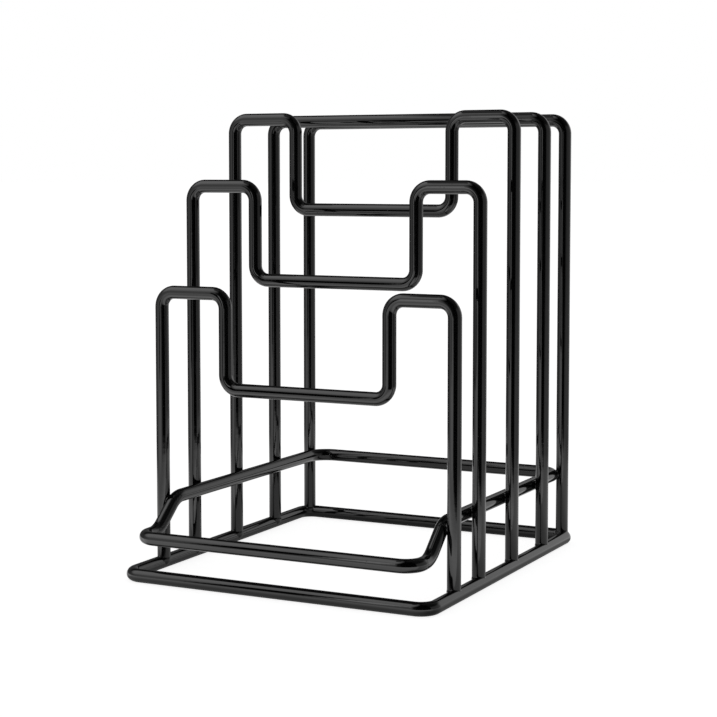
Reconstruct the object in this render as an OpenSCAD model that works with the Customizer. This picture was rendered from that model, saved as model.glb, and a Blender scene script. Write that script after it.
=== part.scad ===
// Stepped wire rack for plates, boards or lids: two closed rings and five bent dividers,
// all of one coated round steel wire, welded where they cross.
// Millimetres, +Z up. The origin is on the table, under the middle of the rack's footprint;
// the low dividers and the lip are at the front, which is -Y.

/* [Wire] */
// Diameter of the coated wire
wire_d = 6; // [5:0.1:7.5]
// Radius of the ordinary bends, to the middle of the wire
bend_r = 6.6; // [5:0.1:9]
// How far a ring's side and a leg are pressed into each other where they are welded
weld_sink = 0.6; // [0.3:0.1:1]

/* [Dividers] */
// Distance between the two legs of the four front dividers, middle to middle
leg_span = 143.7; // [118:0.1:180]
// How much further in each leg of the back divider stands
back_leg_inset = 2.1; // [1:0.1:3]
// Height of the front divider
front_h = 129.3; // [105:0.1:160]
// Height of the second divider
second_h = 176.6; // [145:0.1:215]
// Height of the three tall dividers
tall_h = 207.9; // [170:0.1:250]
// Pitch from the front divider to the second
front_pitch = 26.8; // [20:0.1:40]
// Pitch from the second divider to the third
second_pitch = 38.5; // [28:0.1:50]
// Pitch from the third divider to the fourth
third_pitch = 38.1; // [28:0.1:50]
// Pitch from the fourth divider to the back one
back_pitch = 33.4; // [27:0.1:45]

/* [Notches] */
// Width of the notch in a stepped divider, middle to middle of its upright wires
notch_w = 80.4; // [60:0.1:98]
// How far the notches sit to the right of the rack's middle
notch_shift = 1.5; // [0:0.1:2]
// How far the notch drops below the divider's top wire
notch_drop = 42.5; // [20:0.1:60]

/* [Base ring] */
// How far the legs stand inside the middle line of the ring's sides
foot_inset = 1; // [0:0.1:1.5]
// How far the leg ends are let down into the ring
foot_sink = 2.2; // [1:0.1:3]
// How far the ring's back wire lies behind the back divider
base_back_reach = 1; // [0.5:0.1:2]

/* [Rest ring] */
// Height of the ring's back part above the table, to the middle of the wire
rest_h = 33.2; // [27:0.1:45]
// Height of the lip at the front, to the middle of the wire
lip_h = 20; // [16:0.1:24]
// Length of the level lip, from its front wire to the foot of the ramp
lip_depth = 14.4; // [12:0.1:30]
// Level distance that the ramp covers
ramp_run = 15.2; // [12:0.1:20]
// How far the top of the ramp lies behind the front divider
ramp_setback = 1.6; // [0:0.1:3]
// Radius of the two bends of the ramp
ramp_bend_r = 12.6; // [8:0.1:16]
// Radius of the lip's front corners
lip_corner_r = 7.6; // [5:0.1:10]
// How far the ring's back wire lies behind the back divider
rest_back_reach = 2.4; // [1.5:0.1:3.5]

/* [Welds] */
// How far the weld at a foot stands out round the leg
foot_bead = 0.9; // [0.4:0.1:1]
// How far the weld between the rest ring and a leg reaches past where they are pressed together
rest_bead = 0.6; // [0.3:0.1:1]

/* [Hidden] */

gloss_black = [0.03, 0.03, 0.035];
weld_black = [0.07, 0.07, 0.075];
round_fn = 96;
wire_r = wire_d / 2;
// The balls that close the seams of a slanting bend: how much thicker than the wire they
// are, and half the gap that each one reaches over.
seam_swell = 0.04;
seam_gap = 0.05;
// Least length of straight wire between two bends.
least_straight = 1;

// Derived sizes are kept to a hundredth of a millimetre.
function hundredth(x) = round(x * 100) / 100;

// Across the rack, from its middle to each wire's middle line.
leg_x = leg_span / 2;
back_leg_x = leg_x - back_leg_inset;
base_x = leg_x + foot_inset;
rest_x = leg_x - (wire_d - weld_sink);

// Along the rack: both rings reach as far forward as the lip and the ramp need.
front_reach = lip_depth + ramp_run - ramp_setback;
dividers_depth = front_pitch + second_pitch + third_pitch + back_pitch;
depth = wire_d + front_reach + dividers_depth + rest_back_reach;
rings_front_y = wire_r - depth / 2;
front_y = rings_front_y + front_reach;
second_y = front_y + front_pitch;
third_y = second_y + second_pitch;
fourth_y = third_y + third_pitch;
back_y = fourth_y + back_pitch;
base_back_y = back_y + base_back_reach;
rest_back_y = back_y + rest_back_reach;
ramp_top_y = front_y + ramp_setback;
ramp_foot_y = ramp_top_y - ramp_run;

// The lip's corner leaves room for the ramp's bend on the level stretch beside it.
ramp_angle = atan2(rest_h - lip_h, ramp_run);
ramp_tangent = ramp_bend_r * tan(ramp_angle / 2);
lip_r = hundredth(min(lip_corner_r, lip_depth - ramp_tangent - least_straight));

// The base ring's back corners are bent so that they pass under the back divider's feet.
foot_dx = base_x - back_leg_x;
foot_dy = base_back_reach;
base_back_r = hundredth(foot_dx + foot_dy + sqrt(2 * foot_dx * foot_dy));

// The rest ring's back corners go round inside the back divider's legs and are pressed
// into them as far as the ring's sides are pressed into the other legs.
hug = wire_d - weld_sink;
hug_dx = back_leg_x - rest_x;
hug_sum = hug + rest_back_reach - hug_dx;
rest_back_r = hundredth(hug_sum + sqrt(hug_sum ^ 2 - hug_dx ^ 2 - rest_back_reach ^ 2 + hug ^ 2));
hug_centre = [rest_x - rest_back_r, rest_back_y - rest_back_r];

// Radii of the weld nuggets.
foot_weld_r = wire_r + foot_bead;
rest_weld_r = sqrt(wire_d * weld_sink) + rest_bead;

// Heights of each wire's middle line.
base_z = wire_r;
foot_z = wire_d - foot_sink;
front_z = front_h - wire_r;
second_z = second_h - wire_r;
tall_z = tall_h - wire_r;

// How high the side of the rest ring is where it passes the front divider's legs: on the
// bend at the top of its ramp, or on the straight ramp where that bend is a tight one.
past_bend_start = ramp_setback + ramp_tangent;
rest_z_at_front = past_bend_start < ramp_bend_r * sin(ramp_angle)
    ? rest_h - ramp_bend_r + sqrt(ramp_bend_r ^ 2 - past_bend_start ^ 2)
    : rest_h - ramp_setback * tan(ramp_angle);

// Where each pair of legs stands: [x, y, height of the rest ring beside it].
leg_places = [
    [leg_x, front_y, rest_z_at_front],
    [leg_x, second_y, rest_h],
    [leg_x, third_y, rest_h],
    [leg_x, fourth_y, rest_h],
    [back_leg_x, back_y, rest_h]
];

// The line across which the rest ring and a leg touch: from the leg towards the ring.
hug_line = [back_leg_x, back_y] - hug_centre;
function weld_direction(place) =
    place.x == leg_x ? [-1, 0] : -hug_line / norm(hug_line);

function unit(v) = v / norm(v);
function turn(a, b) = acos(a * b);
// Length of straight wire that a bend of radius r takes up on each side of a corner.
function bend_take(r, a, b) = r == 0 ? 0 : r * tan(turn(a, b) / 2);

// A straight piece of wire that runs from p in direction d, leaving out the first bit.
module rod(p, d, skip, length)
    translate(p)
        rotate([0, acos(d.z), atan2(d.y, d.x)])
            translate([0, 0, skip])
                cylinder(d = wire_d, h = length, $fn = round_fn);

// Does the wire turn by less or more than a right angle here?
function slants(a, b) = abs(a * b) > 0.001;

// A bend of radius r at corner p, from direction a to direction b. The seams of a slanting
// bend are closed by balls a hair thicker than the wire, which reach over a narrow gap.
module elbow(p, a, b, r) {
    n = unit(cross(a, b));
    e = cross(a, n);
    angle = turn(a, b);
    gap = slants(a, b) ? seam_gap / r * 180 / PI : 0;
    translate(p)
        multmatrix([[e.x, a.x, n.x, 0], [e.y, a.y, n.y, 0], [e.z, a.z, n.z, 0], [0, 0, 0, 1]])
            translate([-r, -bend_take(r, a, b), 0]) {
                rotate([0, 0, gap])
                    rotate_extrude(angle = angle - 2 * gap, $fn = round_fn)
                        translate([r, 0])
                            circle(d = wire_d, $fn = round_fn);
                if (slants(a, b))
                    for (end = [0, angle])
                        rotate([0, 0, end])
                            translate([r, 0, 0])
                                rotate([90, 0, 0])
                                    sphere(d = wire_d + seam_swell, $fn = round_fn);
            }
}

// One bent wire through the corners p, bent to radius r[i] at corner p[i]. A closed wire
// goes back to its first corner; an open wire is cut square at its two ends.
module wire(p, r, closed = false) {
    n = len(p);
    last = closed ? n - 1 : n - 2;
    dir = [for (i = [0 : last]) unit(p[(i + 1) % n] - p[i])];
    bent = [for (i = [0 : n - 1]) closed || (i > 0 && i < n - 1)];
    before = [for (i = [0 : n - 1]) dir[bent[i] ? (i + n - 1) % n : 0]];
    after = [for (i = [0 : n - 1]) dir[bent[i] ? i : 0]];
    take = [for (i = [0 : n - 1])
        bent[i] ? bend_take(r[i], before[i], after[i])
                  + (slants(before[i], after[i]) ? seam_gap : 0)
                : 0];
    for (i = [0 : last]) {
        j = (i + 1) % n;
        rod(p[i], dir[i], take[i], norm(p[j] - p[i]) - take[i] - take[j]);
    }
    for (i = [0 : n - 1])
        if (bent[i])
            elbow(p[i], before[i], after[i], r[i]);
}

// Round the table, from the front right corner backwards.
module base_wire()
    wire([[base_x, rings_front_y, base_z], [base_x, base_back_y, base_z],
          [-base_x, base_back_y, base_z], [-base_x, rings_front_y, base_z]],
         [bend_r, base_back_r, base_back_r, bend_r], closed = true);

// The same way round, with a ramp down to the lip on each side.
module rest_wire()
    wire([[rest_x, rings_front_y, lip_h], [rest_x, ramp_foot_y, lip_h],
          [rest_x, ramp_top_y, rest_h], [rest_x, rest_back_y, rest_h],
          [-rest_x, rest_back_y, rest_h], [-rest_x, ramp_top_y, rest_h],
          [-rest_x, ramp_foot_y, lip_h], [-rest_x, rings_front_y, lip_h]],
         [lip_r, ramp_bend_r, ramp_bend_r, rest_back_r,
          rest_back_r, ramp_bend_r, ramp_bend_r, lip_r], closed = true);

// The stretch of each ring that the legs on the right stand by: its side, and its back
// corner as far as the rack's middle.
module base_side()
    wire([[base_x, rings_front_y, base_z], [base_x, base_back_y, base_z], [0, base_back_y, base_z]],
         [0, base_back_r, 0]);

module rest_side()
    wire([[rest_x, ramp_foot_y, lip_h], [rest_x, ramp_top_y, rest_h],
          [rest_x, rest_back_y, rest_h], [0, rest_back_y, rest_h]],
         [0, ramp_bend_r, rest_back_r, 0]);

// A tall plain divider: two legs and a top wire.
module plain_wire(x, y)
    wire([[-x, y, foot_z], [-x, y, tall_z], [x, y, tall_z], [x, y, foot_z]],
         [0, bend_r, bend_r, 0]);

// A stepped divider: its top wire, at height z, drops into a notch between the legs.
module stepped_wire(y, z) {
    left = notch_shift - notch_w / 2;
    right = notch_shift + notch_w / 2;
    wire([[-leg_x, y, foot_z], [-leg_x, y, z], [left, y, z], [left, y, z - notch_drop],
          [right, y, z - notch_drop], [right, y, z], [leg_x, y, z], [leg_x, y, foot_z]],
         [0, bend_r, bend_r, bend_r, bend_r, bend_r, bend_r, 0]);
}

// The straight lower part of a leg, as high as any weld reaches.
module leg_stub(place)
    translate([place.x, place.y, foot_z])
        cylinder(d = wire_d, h = rest_h + 2 * rest_weld_r, $fn = round_fn);

// Both legs of every pair.
module all_legs()
    for (place = leg_places, side = [0, 1])
        mirror([side, 0, 0])
            leg_stub(place);

// Each divider stands on the base ring, so its leg ends are cut to the ring's round.
module base_ring() color(gloss_black) base_wire();

// The rest ring has a shallow saddle where each leg is pressed against it.
module rest_ring()
    color(gloss_black)
        difference() {
            rest_wire();
            all_legs();
        }

module front_divider()
    color(gloss_black)
        difference() {
            stepped_wire(front_y, front_z);
            base_wire();
        }

module second_divider()
    color(gloss_black)
        difference() {
            stepped_wire(second_y, second_z);
            base_wire();
        }

module third_divider()
    color(gloss_black)
        difference() {
            stepped_wire(third_y, tall_z);
            base_wire();
        }

module fourth_divider()
    color(gloss_black)
        difference() {
            plain_wire(leg_x, fourth_y);
            base_wire();
        }

module back_divider()
    color(gloss_black)
        difference() {
            plain_wire(back_leg_x, back_y);
            base_wire();
        }

// A nugget round the foot of each leg on the right, centred where the leg meets the
// ring's top.
module foot_nuggets()
    for (place = leg_places)
        difference() {
            translate([place.x, place.y, wire_d - foot_sink / 2])
                sphere(r = foot_weld_r, $fn = round_fn);
            base_side();
            leg_stub(place);
        }

// A nugget in the crevice where the rest ring crosses each leg on the right, centred on
// the contact.
module rest_nuggets()
    for (place = leg_places)
        difference() {
            translate(place + concat(weld_direction(place) * hug / 2, 0))
                sphere(r = rest_weld_r, $fn = round_fn);
            rest_side();
            leg_stub(place);
        }

module left_foot_welds() color(weld_black) mirror([1, 0, 0]) foot_nuggets();

module right_foot_welds() color(weld_black) foot_nuggets();

module left_rest_welds() color(weld_black) mirror([1, 0, 0]) rest_nuggets();

module right_rest_welds() color(weld_black) rest_nuggets();

base_ring();
rest_ring();
front_divider();
second_divider();
third_divider();
fourth_divider();
back_divider();
left_foot_welds();
right_foot_welds();
left_rest_welds();
right_rest_welds();
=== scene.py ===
from math import atan2, cos, pi, radians, sin, sqrt, tan

import bmesh
import bpy
from mathutils import Matrix, Vector, noise


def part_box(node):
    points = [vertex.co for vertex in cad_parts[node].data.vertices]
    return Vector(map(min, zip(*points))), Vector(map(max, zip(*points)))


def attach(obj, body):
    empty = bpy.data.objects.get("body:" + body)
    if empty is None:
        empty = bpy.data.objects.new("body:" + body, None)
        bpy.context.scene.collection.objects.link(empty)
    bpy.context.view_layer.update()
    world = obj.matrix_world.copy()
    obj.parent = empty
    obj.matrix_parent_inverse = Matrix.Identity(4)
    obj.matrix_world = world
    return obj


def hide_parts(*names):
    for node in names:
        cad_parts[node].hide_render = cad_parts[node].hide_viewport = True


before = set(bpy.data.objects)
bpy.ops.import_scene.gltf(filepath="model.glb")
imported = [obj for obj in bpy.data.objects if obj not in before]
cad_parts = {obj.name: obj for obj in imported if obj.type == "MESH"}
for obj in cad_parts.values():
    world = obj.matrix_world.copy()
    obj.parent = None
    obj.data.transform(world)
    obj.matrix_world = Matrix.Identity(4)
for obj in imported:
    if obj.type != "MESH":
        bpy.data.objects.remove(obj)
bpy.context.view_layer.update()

MM = 0.001
UPRIGHT = Vector((0, 0, 1))

# ---------------------------------------------------------------- the rack's measures

ring_low, ring_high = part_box("base_ring")
WIRE_R = (ring_high.z - ring_low.z) / 2          # the coated wire's radius
BEND_R = 6.6 * MM                                # ordinary bends, to the middle of the wire
LEG_LET_IN = 0.6 * MM                            # how far ring and leg are pressed together
NOTCH_WIDTH = 80.4 * MM
NOTCH_SHIFT = 1.5 * MM
NOTCH_DROP = 42.5 * MM
LIP_HEIGHT = 20 * MM                             # the lip's middle line above the table
REST_HEIGHT = 33.2 * MM                          # the rest ring's middle line above the table
RAMP_RUN = 15.2 * MM
RAMP_SETBACK = 1.6 * MM
RAMP_BEND_R = 12.6 * MM
LIP_CORNER_R = 7.6 * MM


class Divider:
    """Where one divider stands and how high it is, taken from its box."""

    def __init__(self, node):
        low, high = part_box(node)
        self.node = node
        self.leg_x = high.x - WIRE_R
        self.y = (low.y + high.y) / 2
        self.top_z = high.z - WIRE_R
        self.foot_z = low.z


dividers = [Divider(node) for node in ("front_divider", "second_divider", "third_divider",
                                       "fourth_divider", "back_divider")]
front, second, third, _, back = dividers

BASE_X = ring_high.x - WIRE_R
BASE_Z = ring_low.z + WIRE_R
BASE_BACK_Y = ring_high.y - WIRE_R
RINGS_FRONT_Y = ring_low.y + WIRE_R
rest_low, rest_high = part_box("rest_ring")
REST_X = rest_high.x - WIRE_R
REST_BACK_Y = rest_high.y - WIRE_R
RAMP_TOP_Y = front.y + RAMP_SETBACK
RAMP_FOOT_Y = RAMP_TOP_Y - RAMP_RUN

# The base ring's back corners pass under the back divider's feet.
foot_in = BASE_X - back.leg_x
foot_fore = BASE_BACK_Y - back.y
BASE_BACK_R = foot_in + foot_fore + sqrt(2 * foot_in * foot_fore)

# The rest ring's back corners go round inside the back divider's legs, pressed into them.
HUG = 2 * WIRE_R - LEG_LET_IN
hug_in = back.leg_x - REST_X
hug_fore = REST_BACK_Y - back.y
hug_sum = HUG + hug_fore - hug_in
REST_BACK_R = hug_sum + sqrt(hug_sum**2 - hug_in**2 - hug_fore**2 + HUG**2)

# ---------------------------------------------------------------- bending wire

AROUND = 40                                      # faces round the wire
BEND_STEP = radians(4.5)                         # turn between two rings of faces in a bend
SAME_PLACE = 0.001 * MM                          # points this near are one, where a ring's ends meet
SHARP_FROM = radians(50)                         # a turn past this between faces is a hard edge


def new_piece(name, mesh, node_names, finish):
    """Turns a finished bmesh into a piece of the rack that stands for the named CAD nodes."""
    bmesh.ops.recalc_face_normals(mesh, faces=mesh.faces[:])
    data = bpy.data.meshes.new(name)
    mesh.to_mesh(data)
    mesh.free()
    data.polygons.foreach_set("use_smooth", [True] * len(data.polygons))
    data.set_sharp_from_angle(angle=SHARP_FROM)
    data.materials.append(finish)
    piece = bpy.data.objects.new(name, data)
    bpy.context.scene.collection.objects.link(piece)
    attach(piece, "root")
    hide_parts(*node_names)


def point_along(mesh, corners, way, at):
    """Turns what was made upright at the origin so that it points along way, and sets it down."""
    turn = way.to_track_quat("Z", "Y").to_matrix().to_4x4()
    bmesh.ops.transform(mesh, matrix=Matrix.Translation(at) @ turn, verts=corners)


def far_edges(made):
    """The open rim that an extrude or a spin has just made."""
    corners = {v for v in made if isinstance(v, bmesh.types.BMVert)}
    return [e for e in made if isinstance(e, bmesh.types.BMEdge) and set(e.verts) <= corners]


def run_straight(mesh, rim, way):
    made = bmesh.ops.extrude_edge_only(mesh, edges=rim)["geom"]
    corners = [v for v in made if isinstance(v, bmesh.types.BMVert)]
    bmesh.ops.translate(mesh, vec=way, verts=corners)
    return far_edges(made)


def run_bend(mesh, rim, at, heading, leaving, radius):
    """Bends the wire from one heading to another, round the inside of the corner."""
    inside = (leaving - heading * leaving.dot(heading)).normalized()
    angle = heading.angle(leaving)
    corners = list({v for e in rim for v in e.verts})
    made = bmesh.ops.spin(mesh, geom=rim + corners, cent=at + inside * radius,
                          axis=heading.cross(leaving).normalized(), angle=angle,
                          steps=round(angle / BEND_STEP), use_duplicate=False,
                          use_merge=False)["geom_last"]
    return far_edges(made)


def bent_wire(corners, radii, closed=True):
    """A round wire through the corners, bent to radii[i] at corner i. A closed wire starts
    and ends halfway along its first side; an open one starts and ends at its end corners."""
    count = len(corners)
    sides = [corners[(i + 1) % count] - corners[i] for i in range(count)]
    headings = [side.normalized() for side in sides]
    start = corners[0] + sides[0] / 2 if closed else corners[0]
    mesh = bmesh.new()
    first = bmesh.ops.create_circle(mesh, radius=WIRE_R, segments=AROUND)["verts"]
    point_along(mesh, first, headings[0], start)
    rim, at = mesh.edges[:], start
    for turn in range(1, count + 1 if closed else count - 1):
        i = turn % count
        came, leaves = headings[i - 1], headings[i]
        take = radii[i] * tan(came.angle(leaves) / 2)
        bend_start = corners[i] - came * take
        rim = run_straight(mesh, rim, bend_start - at)
        rim = run_bend(mesh, rim, bend_start, came, leaves, radii[i])
        at = corners[i] + leaves * take
    rim = run_straight(mesh, rim, (start if closed else corners[-1]) - at)
    if closed:
        bmesh.ops.remove_doubles(mesh, verts=mesh.verts[:], dist=SAME_PLACE)
    else:
        for end in (rim, [e for e in mesh.edges if set(e.verts) <= set(first)]):
            bmesh.ops.edgeloop_fill(mesh, edges=end)
    return mesh


def points(*rows):
    return [Vector(row) for row in rows]


# ---------------------------------------------------------------- shader maths


class Value:
    """One output in a node tree. Python's operators on it add Math nodes."""

    def __init__(self, tree, socket):
        self.tree, self.socket = tree, socket

    def add(self, kind, settings=(), out=0, **inputs):
        return add_node(self.tree, kind, settings, out, **inputs)

    def maths(self, operation, *numbers):
        slots = {f"_{i}": number for i, number in enumerate(numbers)}
        return self.add("ShaderNodeMath", {"operation": operation}, **slots)

    def __add__(self, other):
        return self.maths("ADD", self, other)

    def __radd__(self, other):
        return self.maths("ADD", other, self)

    def __sub__(self, other):
        return self.maths("SUBTRACT", self, other)

    def __rsub__(self, other):
        return self.maths("SUBTRACT", other, self)

    def __mul__(self, other):
        return self.maths("MULTIPLY", self, other)

    def __rmul__(self, other):
        return self.maths("MULTIPLY", other, self)

    def __abs__(self):
        return self.maths("ABSOLUTE", self)

    def larger(self, other):
        return self.maths("MAXIMUM", self, other)

    def ease(self, low, high):
        """0 below low, 1 above high, with a soft step between; the other way if low > high."""
        ends = {"From_Min": min(low, high), "From_Max": max(low, high)}
        step = self.add("ShaderNodeMapRange", {"interpolation_type": "SMOOTHSTEP"},
                        Value=self, **ends)
        return step if low < high else 1 - step


def add_node(tree, kind, settings=(), out=0, **inputs):
    """Adds a node: its settings first, then its inputs by name, or by place as _0, _1."""
    node = tree.nodes.new(kind)
    for name, value in dict(settings).items():
        if name == "stops":
            steps = node.color_ramp.elements
            for place, _ in value[1:-1]:
                steps.new(place)
            steps[0].position, steps[-1].position = value[0][0], value[-1][0]
            for step, (_, level) in zip(steps, value):
                step.color = grey(level)
        else:
            setattr(node, name, value)
    for name, value in inputs.items():
        key = int(name[1:]) if name[0] == "_" else name.replace("_", " ")
        socket = node.inputs[key]
        if isinstance(value, Value):
            tree.links.new(value.socket, socket)
        else:
            socket.default_value = value
    return Value(tree, node.outputs[out])


def grey(level):
    return (level, level, level, 1)


# ---------------------------------------------------------------- finishes

MIXED_COLOUR = 2                                 # a Mix node's colour output
ENAMEL_IOR = 1.5
RUBBED_GREY = (0.035, 0.034, 0.033, 1)
SAG_DEPTH = 0.03                                 # depths and heights of the coat are in mm
SPECK_HEIGHT = 0.012


def black_enamel(name, gloss, peel_depth, grain_depth, black):
    """Gloss black baked enamel: nearly black, with the soft unevenness of a sprayed and
    stoved coat, wiping marks, a few grains of dust under it, and rubbing where it stands."""
    finish = bpy.data.materials.new(name)
    finish.use_nodes = True
    tree = finish.node_tree
    shader = tree.nodes["Principled BSDF"]
    place = add_node(tree, "ShaderNodeTexCoord", out="Object")

    def cloud(scale, detail=2.0, lean=(1, 1, 1)):
        """Soft noise with scale lumps to the metre, drawn out where lean is small."""
        leaned = add_node(tree, "ShaderNodeMapping", Vector=place, Scale=lean)
        return add_node(tree, "ShaderNodeTexNoise", {"noise_dimensions": "3D"}, "Fac",
                        Vector=leaned, Scale=scale, Detail=detail, Roughness=0.5)

    def mixed(amount, below, above):
        return add_node(tree, "ShaderNodeMix", {"data_type": "RGBA"}, MIXED_COLOUR,
                        _0=amount, _6=below, _7=above)

    peel = cloud(430)                            # orange peel, about 2 mm from crest to crest
    sag = cloud(110, 1.0)                        # where the coat ran a little before it set
    grain = cloud(2900, 1.0)                     # the coat's fine grain
    wiped = cloud(38, 3.0, lean=(1, 1, 0.3)).ease(0.46, 0.66)
    specks = add_node(tree, "ShaderNodeTexVoronoi", {"feature": "F1"}, "Distance",
                      Vector=place, Scale=520.0).ease(0.13, 0.05)
    dust = specks * cloud(90, 0.0).ease(0.5, 0.62)
    height = add_node(tree, "ShaderNodeSeparateXYZ", out="Z", Vector=place)
    rubbed = height.ease(0.9 * MM, 0.2 * MM) * cloud(700).ease(0.35, 0.6)

    clean_black = (black, black, black * 1.04, 1)
    hazy_black = (black * 1.5, black * 1.5, black * 1.6, 1)
    tint = mixed(rubbed * 0.7, mixed(wiped, clean_black, hazy_black), RUBBED_GREY)
    # How much each of them adds to the coat's roughness, and to its relief.
    rough = gloss + wiped * 0.03 + grain * 0.015 + dust * 0.12 + rubbed * 0.3
    relief = peel * peel_depth + sag * SAG_DEPTH + grain * grain_depth + dust * SPECK_HEIGHT
    bumped = add_node(tree, "ShaderNodeBump", Height=relief, Distance=MM, Strength=1.0)
    tree.links.new(tint.socket, shader.inputs["Base Color"])
    tree.links.new(rough.socket, shader.inputs["Roughness"])
    tree.links.new(bumped.socket, shader.inputs["Normal"])
    shader.inputs["IOR"].default_value = ENAMEL_IOR
    return finish


wire_coat = black_enamel("gloss_black_enamel", gloss=0.035, peel_depth=0.012,
                         grain_depth=0.0005, black=0.0016)
weld_coat = black_enamel("enamel_over_weld", gloss=0.11, peel_depth=0.022,
                         grain_depth=0.003, black=0.002)

# ---------------------------------------------------------------- the two rings

base_corners = points((BASE_X, RINGS_FRONT_Y, BASE_Z), (BASE_X, BASE_BACK_Y, BASE_Z),
                      (-BASE_X, BASE_BACK_Y, BASE_Z), (-BASE_X, RINGS_FRONT_Y, BASE_Z))
new_piece("base_ring_wire", bent_wire(base_corners, [BEND_R, BASE_BACK_R, BASE_BACK_R, BEND_R]),
          ["base_ring"], wire_coat)

rest_corners = points(
    (REST_X, RINGS_FRONT_Y, LIP_HEIGHT), (REST_X, RAMP_FOOT_Y, LIP_HEIGHT),
    (REST_X, RAMP_TOP_Y, REST_HEIGHT), (REST_X, REST_BACK_Y, REST_HEIGHT),
    (-REST_X, REST_BACK_Y, REST_HEIGHT), (-REST_X, RAMP_TOP_Y, REST_HEIGHT),
    (-REST_X, RAMP_FOOT_Y, LIP_HEIGHT), (-REST_X, RINGS_FRONT_Y, LIP_HEIGHT))
rest_radii = [LIP_CORNER_R, RAMP_BEND_R, RAMP_BEND_R, REST_BACK_R,
              REST_BACK_R, RAMP_BEND_R, RAMP_BEND_R, LIP_CORNER_R]
new_piece("rest_ring_wire", bent_wire(rest_corners, rest_radii),
          ["rest_ring"], wire_coat)

# ---------------------------------------------------------------- the five dividers


def stepped_wire(divider):
    left, right = NOTCH_SHIFT - NOTCH_WIDTH / 2, NOTCH_SHIFT + NOTCH_WIDTH / 2
    leg_x, y = divider.leg_x, divider.y
    foot_z, top_z = divider.foot_z, divider.top_z
    dip_z = top_z - NOTCH_DROP
    corners = points((-leg_x, y, foot_z), (-leg_x, y, top_z), (left, y, top_z), (left, y, dip_z),
                     (right, y, dip_z), (right, y, top_z), (leg_x, y, top_z), (leg_x, y, foot_z))
    return bent_wire(corners, [0] + [BEND_R] * 6 + [0], closed=False)


def plain_wire(divider):
    leg_x, y = divider.leg_x, divider.y
    foot_z, top_z = divider.foot_z, divider.top_z
    corners = points((-leg_x, y, foot_z), (-leg_x, y, top_z), (leg_x, y, top_z), (leg_x, y, foot_z))
    return bent_wire(corners, [0, BEND_R, BEND_R, 0], closed=False)


for divider in dividers:
    make = stepped_wire if divider in (front, second, third) else plain_wire
    new_piece(divider.node + "_wire", make(divider), [divider.node], wire_coat)

# ---------------------------------------------------------------- the welds

STUB_AROUND = 48                                 # faces round a weld's stubs
STUB_UNDER = 0.1 * MM                            # the least that they lie inside the wires
FOOT_LEG_STUB = 5.2 * MM                         # lengths of the stubs at the feet
FOOT_RING_STUB = 8.0 * MM
FOOT_CORNER_STUB = 4.0 * MM
REST_LEG_STUB = 7.5 * MM                         # and at the rest ring
REST_RING_STUB = 5.0 * MM
FOOT_BEAD_R = 3.2 * MM
FOOT_BEAD_UNDER = 1.5 * MM                       # its middle, below the base ring's top
REST_BEAD_R = 2.1 * MM
WELD_GRID = 0.24 * MM
MELT_PASSES = 12
RIPPLE_SIZE = 1.1 * MM
RIPPLE_DEPTH = 0.035 * MM


def stub(mesh, middle, way, length, radius):
    made = bmesh.ops.create_cone(mesh, cap_ends=True, segments=STUB_AROUND, radius1=radius,
                                 radius2=radius, depth=length)["verts"]
    point_along(mesh, made, way, middle)


def bead(mesh, middle, radius):
    made = bmesh.ops.create_icosphere(mesh, subdivisions=4, radius=radius)["verts"]
    bmesh.ops.translate(mesh, vec=middle, verts=made)


def melt(name, mesh):
    """Runs the stubs and beads of the welds into each other with smooth hollow corners."""
    data = bpy.data.meshes.new(name)
    mesh.to_mesh(data)
    mesh.free()
    cold = bpy.data.objects.new(name, data)
    bpy.context.scene.collection.objects.link(cold)
    grid = cold.modifiers.new("one skin", "REMESH")
    grid.mode = "VOXEL"
    grid.voxel_size = WELD_GRID
    soften = cold.modifiers.new("run together", "SMOOTH")
    soften.factor = 0.5
    soften.iterations = MELT_PASSES
    melted = bpy.data.meshes.new_from_object(
        cold.evaluated_get(bpy.context.evaluated_depsgraph_get()))
    bpy.data.objects.remove(cold)
    bpy.data.meshes.remove(data)
    mesh = bmesh.new()
    mesh.from_mesh(melted)
    bpy.data.meshes.remove(melted)
    for vert in mesh.verts:
        ripple = noise.noise(vert.co / RIPPLE_SIZE)
        vert.co += vert.normal * ripple * RIPPLE_DEPTH
    return mesh


def foot_weld(mesh, side, divider):
    """Under a leg: the leg's end runs into the base ring's top."""
    leg_x, y = side * divider.leg_x, divider.y
    stub_r = WIRE_R - STUB_UNDER
    leg_middle = Vector((leg_x, y, divider.foot_z + FOOT_LEG_STUB / 2))
    stub(mesh, leg_middle, UPRIGHT, FOOT_LEG_STUB, stub_r)
    if divider is back:
        corner = Vector((side * (BASE_X - BASE_BACK_R), BASE_BACK_Y - BASE_BACK_R, BASE_Z))
        out = (Vector((leg_x, y, BASE_Z)) - corner).normalized()
        middle = corner + out * (BASE_BACK_R - STUB_UNDER)
        stub(mesh, middle, out.cross(UPRIGHT), FOOT_CORNER_STUB, stub_r - STUB_UNDER)
    else:
        middle = Vector((side * BASE_X, y, BASE_Z))
        stub(mesh, middle, Vector((0, 1, 0)), FOOT_RING_STUB, stub_r)
    bead(mesh, Vector((leg_x, y, 2 * WIRE_R - FOOT_BEAD_UNDER)), FOOT_BEAD_R)


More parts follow.
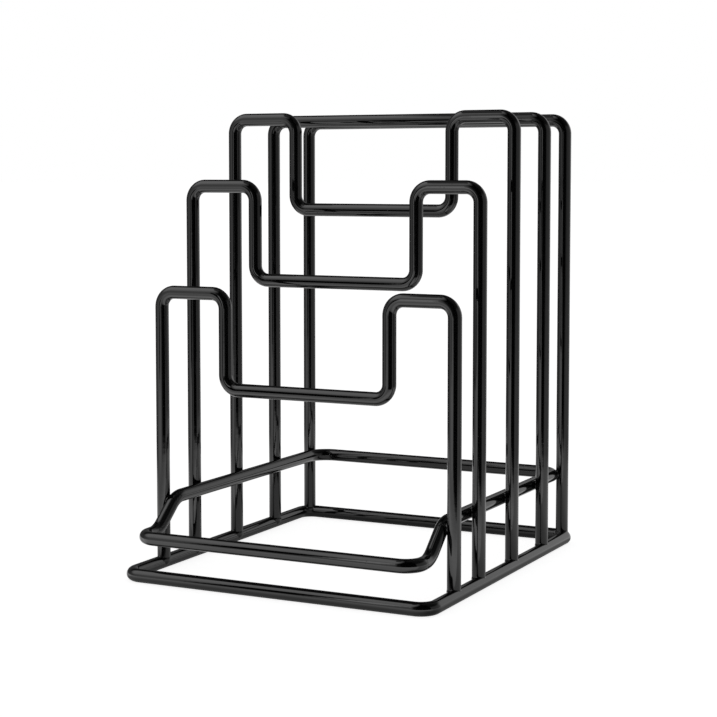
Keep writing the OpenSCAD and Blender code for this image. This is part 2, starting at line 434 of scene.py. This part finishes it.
def rest_weld(mesh, side, divider):
    """Where the rest ring's side is pressed against a leg."""
    stub_r = WIRE_R - STUB_UNDER
    leg = Vector((side * divider.leg_x, divider.y, REST_HEIGHT))
    if divider is back:
        corner = Vector((side * (REST_X - REST_BACK_R), REST_BACK_Y - REST_BACK_R, REST_HEIGHT))
        way = (corner - leg).normalized()
        along = way.cross(UPRIGHT)
    else:
        way, along = Vector((-side, 0, 0)), Vector((0, 1, 0))
    if divider is front:
        ramp_rise = REST_HEIGHT - LIP_HEIGHT
        ramp_take = RAMP_BEND_R * tan(atan2(ramp_rise, RAMP_RUN) / 2)
        past = RAMP_SETBACK + ramp_take
        leg.z -= RAMP_BEND_R - sqrt(RAMP_BEND_R**2 - past**2)
        along = Vector((0, sqrt(1 - (past / RAMP_BEND_R) ** 2), past / RAMP_BEND_R))
    middle = leg + way * HUG
    stub(mesh, leg, UPRIGHT, REST_LEG_STUB, stub_r)
    stub(mesh, middle, along, REST_RING_STUB, stub_r - STUB_UNDER)
    bead(mesh, leg + way * HUG / 2, REST_BEAD_R)


for side, side_name in ((-1, "left"), (1, "right")):
    for weld, kind in ((foot_weld, "foot_welds"), (rest_weld, "rest_welds")):
        cold = bmesh.new()
        for divider in dividers:
            weld(cold, side, divider)
        node = f"{side_name}_{kind}"
        new_piece(node + "_metal", melt(node, cold), [node], weld_coat)

# ---------------------------------------------------------------- floor, light and camera


def link_stage(thing):
    bpy.context.scene.collection.objects.link(thing)
    return thing


def flat_piece(name, mesh, finish):
    data = bpy.data.meshes.new(name)
    mesh.to_mesh(data)
    mesh.free()
    data.materials.append(finish)
    return link_stage(bpy.data.objects.new(name, data))


def seen_only_in_the_gloss(thing):
    thing.visible_camera = False
    thing.visible_diffuse = False
    thing.visible_shadow = False


def round_patch(name, radius, finish):
    mesh = bmesh.new()
    bmesh.ops.create_circle(mesh, cap_ends=True, radius=radius, segments=96)
    return flat_piece(name, mesh, finish)


def bare_material(name):
    """A material with nothing but its output, and what it is made of."""
    made = bpy.data.materials.new(name)
    made.use_nodes = True
    made.node_tree.nodes.remove(made.node_tree.nodes["Principled BSDF"])
    return made, made.node_tree


def surface_is(tree, shader):
    tree.links.new(shader.socket, tree.nodes["Material Output"].inputs["Surface"])


FLOOR_R = 30.0
FLOOR_WHITE = 0.86
pale = bpy.data.materials.new("pale_floor")
pale.use_nodes = True
pale_shader = pale.node_tree.nodes["Principled BSDF"]
pale_shader.inputs["Base Color"].default_value = grey(FLOOR_WHITE)
pale_shader.inputs["Roughness"].default_value = 1.0
pale_shader.inputs["Specular IOR Level"].default_value = 0.0
pale_shader.inputs["Emission Color"].default_value = grey(1)
pale_shader.inputs["Emission Strength"].default_value = FLOOR_WHITE
floor = round_patch("floor", FLOOR_R, pale)
floor.visible_glossy = False

# What the gloss sees of the floor: a glowing pool of painted light that ends about a forearm's
# length away. It is painted dim under the rack and beside it, with painted shade darkest where the
# base ring lies on it, and painted bright in front.
POOL_FADES, POOL_ENDS = 0.28, 0.42               # metres from the rack's middle
POOL_MIDDLE, POOL_GAIN = 0.67, 0.5               # light under the rack, and what it gains outside
RING_SHADE, SHADE_REACH = 0.3, 16 * MM           # share left at the base ring, and its shade's reach
pool, tree = bare_material("lit_floor_pool")
spot = add_node(tree, "ShaderNodeTexCoord", out="Object")
spot_x, spot_y = (add_node(tree, "ShaderNodeSeparateXYZ", out=axis, Vector=spot) for axis in "XY")
away = add_node(tree, "ShaderNodeVectorMath", {"operation": "LENGTH"}, "Value", _0=spot)
past_ring = (abs(spot_x) - BASE_X).larger(abs(spot_y) - BASE_BACK_Y)
# painted shadow: within SHADE_REACH of the base ring's wire, the pool's glow is painted down to
# RING_SHADE
painted_ring_shade = RING_SHADE + abs(past_ring).ease(1 * MM, SHADE_REACH) * (1 - RING_SHADE)
# painted light: the pool is painted brighter in front of the rack
in_front = spot_y.ease(-0.08, -0.09) * away.ease(0.3, 0.12)
lit = (POOL_MIDDLE + away.ease(0.09, 0.2) * POOL_GAIN) * painted_ring_shade * (1 + in_front)
glow = add_node(tree, "ShaderNodeEmission", Color=lit, Strength=1.0)
clear = add_node(tree, "ShaderNodeBsdfTransparent")
surface_is(tree, add_node(tree, "ShaderNodeMixShader",
                          _0=away.ease(POOL_FADES, POOL_ENDS), _1=glow, _2=clear))
seen_only_in_the_gloss(round_patch("floor_pool", POOL_ENDS + 0.03, pool))


def card(name, middle, half_wide, half_high, soft, shine=0.0):
    """A card seen only by the gloss: black, or as bright as shine says. The two halves are
    arrows from its middle to the middles of two edges."""
    finish, tree = bare_material(name)
    spot = add_node(tree, "ShaderNodeTexCoord", out="Object")
    offset = add_node(tree, "ShaderNodeVectorMath", {"operation": "SUBTRACT"}, _0=spot, _1=middle)

    def covered(arrow):
        along = add_node(tree, "ShaderNodeVectorMath", {"operation": "DOT_PRODUCT"}, "Value",
                         _0=offset, _1=arrow.normalized())
        return abs(along).ease(arrow.length + soft, arrow.length - soft)

    face = add_node(tree, "ShaderNodeEmission", Color=grey(shine), Strength=1.0)
    clear = add_node(tree, "ShaderNodeBsdfTransparent")
    surface_is(tree, add_node(tree, "ShaderNodeMixShader",
                              _0=covered(half_wide) * covered(half_high), _1=clear, _2=face))
    mesh = bmesh.new()
    corners = bmesh.ops.create_grid(mesh, x_segments=1, y_segments=1, size=1.0)["verts"]
    bmesh.ops.scale(mesh, verts=corners,
                    vec=(half_wide.length + soft, half_high.length + soft, 1))
    wide, high = half_wide.normalized(), half_high.normalized()
    turn = Matrix((wide, high, wide.cross(high))).transposed().to_4x4()
    bmesh.ops.transform(mesh, matrix=Matrix.Translation(middle) @ turn, verts=corners)
    seen_only_in_the_gloss(flat_piece(name, mesh, finish))


# A narrow dark card in front on the left puts a dark line along the low top wires. The bright
# strip beside it puts a thin light along the right shoulders, and a dim card hung above on the
# left keeps their tops dark. A tall dark card in front on the right puts the black stripe down
# the legs.
card("narrow_dark_card", middle=Vector((-0.183, -0.381, 0.153)),
     half_wide=Vector((0.05, 0, 0)), half_high=Vector((0, 0, 0.108)), soft=0.012)
card("bright_strip", middle=Vector((-0.098, -0.381, 0.175)),
     half_wide=Vector((0.02, 0, 0)), half_high=Vector((0, 0, 0.085)), soft=0.01, shine=2.6)
card("hung_dim_card", middle=Vector((-0.1, -0.08, 0.6)),
     half_wide=Vector((0.08, 0, 0)), half_high=Vector((0, 0.17, 0)), soft=0.02, shine=0.3)
card("tall_dark_card", middle=Vector((0.169, -0.261, 0.25)),
     half_wide=Vector((0.081, 0.139, 0)), half_high=Vector((0, 0, 0.25)), soft=0.012)

# How bright the studio is going round from behind the rack (-180) past its left (-90), its
# front (0) and its right (90): below the horizon, and above it.
BRIGHTEST = 2.0                                  # what the colour ramps' white stands for
LOW_ROUND = [(-180, 0.2), (-150, 0.1), (-105, 0.15), (-84, 0.2), (-66, 0.55), (-50, 1.0),
             (-24, 1.6), (-8, 1.5), (5, 1.2), (20, 0.3), (35, 0.2), (48, 0.5), (60, 0.6),
             (84, 0.72), (112, 0.5), (135, 0.4), (149, 0.75), (163, 0.4), (180, 0.2)]
HIGH_ROUND = [(-180, 0.75), (-165, 0.3), (-150, 0.1), (-105, 0.15), (-84, 0.25), (-60, 0.55),
              (-28, 1.0), (-21, 0.9), (-11, 0.1), (11, 0.03), (35, 0.03), (60, 0.3), (71, 0.45),
              (112, 0.45), (135, 0.5), (148, 0.95), (165, 0.9), (180, 0.75)]

world = bpy.data.worlds.new("white_studio")
bpy.context.scene.world = world
world.use_nodes = True
sky = world.node_tree
look = add_node(sky, "ShaderNodeTexCoord", out="Generated")
east, north, up = (add_node(sky, "ShaderNodeSeparateXYZ", out=axis, Vector=look)
                   for axis in "XYZ")
bearing = add_node(sky, "ShaderNodeMath", {"operation": "ARCTAN2"}, _0=east, _1=north * -1)


def going_round(levels):
    stops = [((angle + 180) / 360, level / BRIGHTEST) for angle, level in levels]
    ramp = add_node(sky, "ShaderNodeValToRGB", {"stops": stops},
                    Fac=bearing * (1 / (2 * pi)) + 0.5)
    return add_node(sky, "ShaderNodeSeparateXYZ", out="X", Vector=ramp) * BRIGHTEST


def lamp(bearing_deg, height_deg, inner, outer, shine):
    """A soft round lamp in that direction: full within inner degrees of it, none past outer."""
    round_by, up_by = radians(bearing_deg), radians(height_deg)
    aim = (sin(round_by) * cos(up_by), -cos(round_by) * cos(up_by), sin(up_by))
    facing = add_node(sky, "ShaderNodeVectorMath", {"operation": "DOT_PRODUCT"}, "Value",
                      _0=look, _1=aim)
    return facing.ease(cos(radians(outer)), cos(radians(inner))) * shine


# The walls' two rows of levels run into each other at the horizon, and fade out overhead.
raised = up.ease(-0.13, -0.03)
dimmed_overhead = 1 - up.ease(0.4, 0.66) * 0.85
walls = (going_round(LOW_ROUND) * (1 - raised)
         + going_round(HIGH_ROUND) * raised * dimmed_overhead)
studio = walls + lamp(bearing_deg=-58, height_deg=54, inner=8, outer=38, shine=1.85)

# The gloss sees the studio, the camera sees plain white, and the floor gets a plain soft light.
PLAIN_LIGHT = 0.22
in_gloss = add_node(sky, "ShaderNodeLightPath", out="Is Glossy Ray")
in_view = add_node(sky, "ShaderNodeLightPath", out="Is Camera Ray")
plain = PLAIN_LIGHT + in_view * (1 - PLAIN_LIGHT)
background = sky.nodes["Background"]
background.inputs["Strength"].default_value = 1.0
sky.links.new((in_gloss * studio + (1 - in_gloss) * plain).socket, background.inputs["Color"])

camera_data = bpy.data.cameras.new("camera")
camera = bpy.data.objects.new("camera", camera_data)
bpy.context.scene.collection.objects.link(camera)
camera_data.sensor_width = 36
camera_data.lens = 88.68
camera_data.shift_y = -0.08
camera_data.clip_start = 0.01
camera_data.clip_end = 100
LOOKING_DOWN, TURNED = 0.0729, 0.4638            # radians
camera.location = (0.36238, -0.72583, 0.18003)
camera.rotation_euler = (pi / 2 - LOOKING_DOWN, 0, TURNED)
bpy.context.scene.camera = camera
bpy.context.scene.view_settings.view_transform = "Standard"
